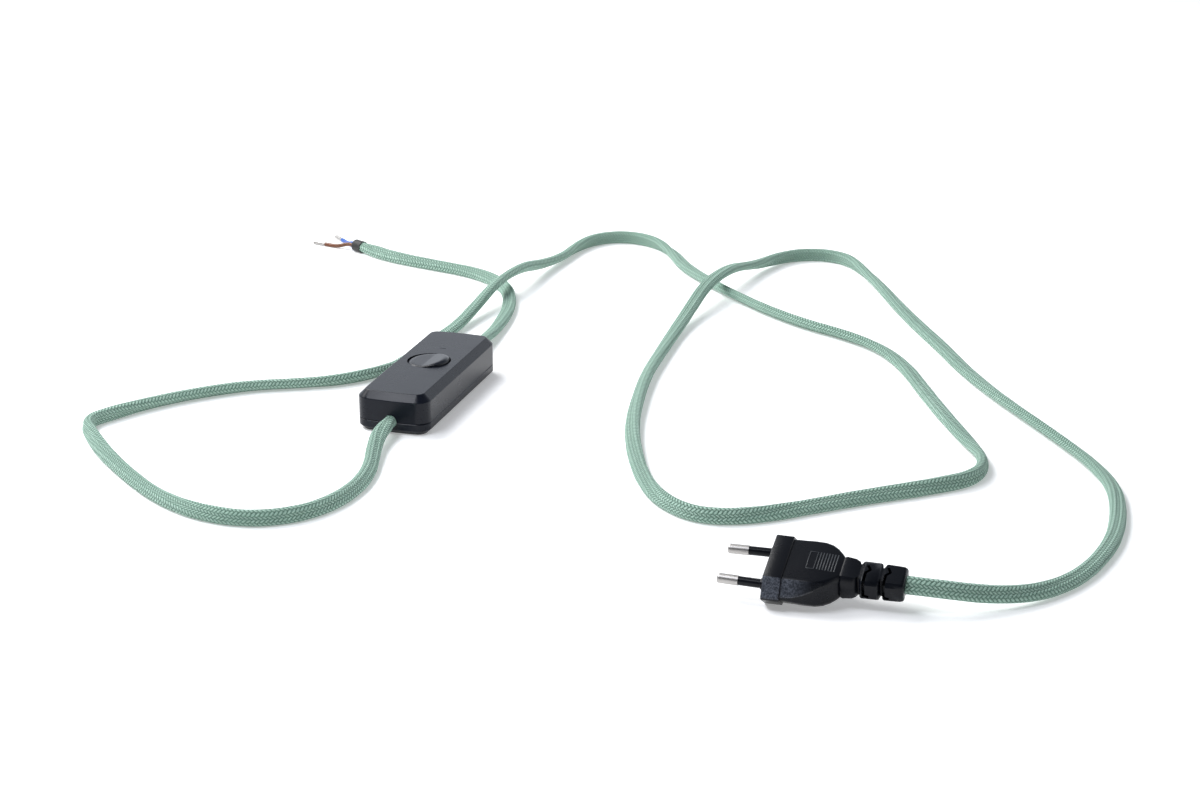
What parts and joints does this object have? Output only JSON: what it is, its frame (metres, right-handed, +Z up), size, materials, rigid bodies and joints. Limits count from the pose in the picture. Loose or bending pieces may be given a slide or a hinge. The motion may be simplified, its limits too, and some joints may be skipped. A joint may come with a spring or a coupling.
{
  "type": "inline cord switch",
  "caption": "Inline rocker switch in a chamfered two-shell case on a flat braided cord, with a slim two-pin plug and bared load tails.",
  "frame": {"origin": "centre of the switch's underside, on the surface that it lies on", "axes": "+X along the switch towards the load cord, +Y across it, +Z up through the rocker"},
  "size_m": [0.4662, 0.4887, 0.0208],
  "materials": {
    "case": "satin moulded",
    "rocker": "satin moulded",
    "white_plastic": "moulded",
    "spring_steel": "drawn wire",
    "brass": "stamped",
    "silver": "polished rivet",
    "zinc_steel": "zinc plated",
    "braid": "braided textile",
    "brown_insulation": "extruded",
    "blue_insulation": "extruded",
    "copper": "stranded",
    "plug_plastic": "fine moulded texture",
    "nickel": "nickel plated",
    "rubber_sleeve": "shrunk sleeve"
  },
  "bodies": {
    "case": {"upper_housing": "case", "lower_housing": "case", "fixed_contact": "silver", "live_in_terminal": "brass", "live_out_terminal": "brass", "neutral_terminal": "brass", "terminal_screws": "zinc_steel", "supply_clamp_bar": "white_plastic", "load_clamp_bar": "white_plastic", "clamp_screws": "zinc_steel", "housing_screws": "zinc_steel", "supply_sheath_end": "braid", "load_sheath_end": "braid", "supply_brown_core": "brown_insulation", "supply_blue_core": "blue_insulation", "load_brown_core": "brown_insulation", "load_blue_core": "blue_insulation", "supply_copper_ends": "copper", "load_copper_ends": "copper", "supply_cord": "braid", "load_cord": "braid", "plug_body": "plug_plastic", "plug_pin_1": "nickel", "plug_pin_2": "nickel", "pin_sleeve_1": "plug_plastic", "pin_sleeve_2": "plug_plastic", "tail_brown_core": "brown_insulation", "tail_blue_core": "blue_insulation", "tail_ferrules": "nickel", "tail_sleeve": "rubber_sleeve"},
    "rocker": {"rocker": "rocker", "plunger": "white_plastic", "plunger_spring": "spring_steel"},
    "blade": {"contact_blade": "brass", "moving_contact": "silver"}
  },
  "joints": [
    {"name": "rocker_tilt", "type": "hinge", "parent": "case", "child": "rocker", "pos_m": [0.002, 0, 0.016], "axis": [1, 0, 0], "range_deg": [0, 12]},
    {"name": "blade_tilt", "type": "hinge", "parent": "case", "child": "blade", "pos_m": [0.002, 0, 0.0064], "axis": [1, 0, 0], "range_deg": [-16, 0]}
  ],
  "couplings": [
    {"joint": "blade_tilt", "follows": "rocker_tilt", "ratio": -1.3333}
  ]
}
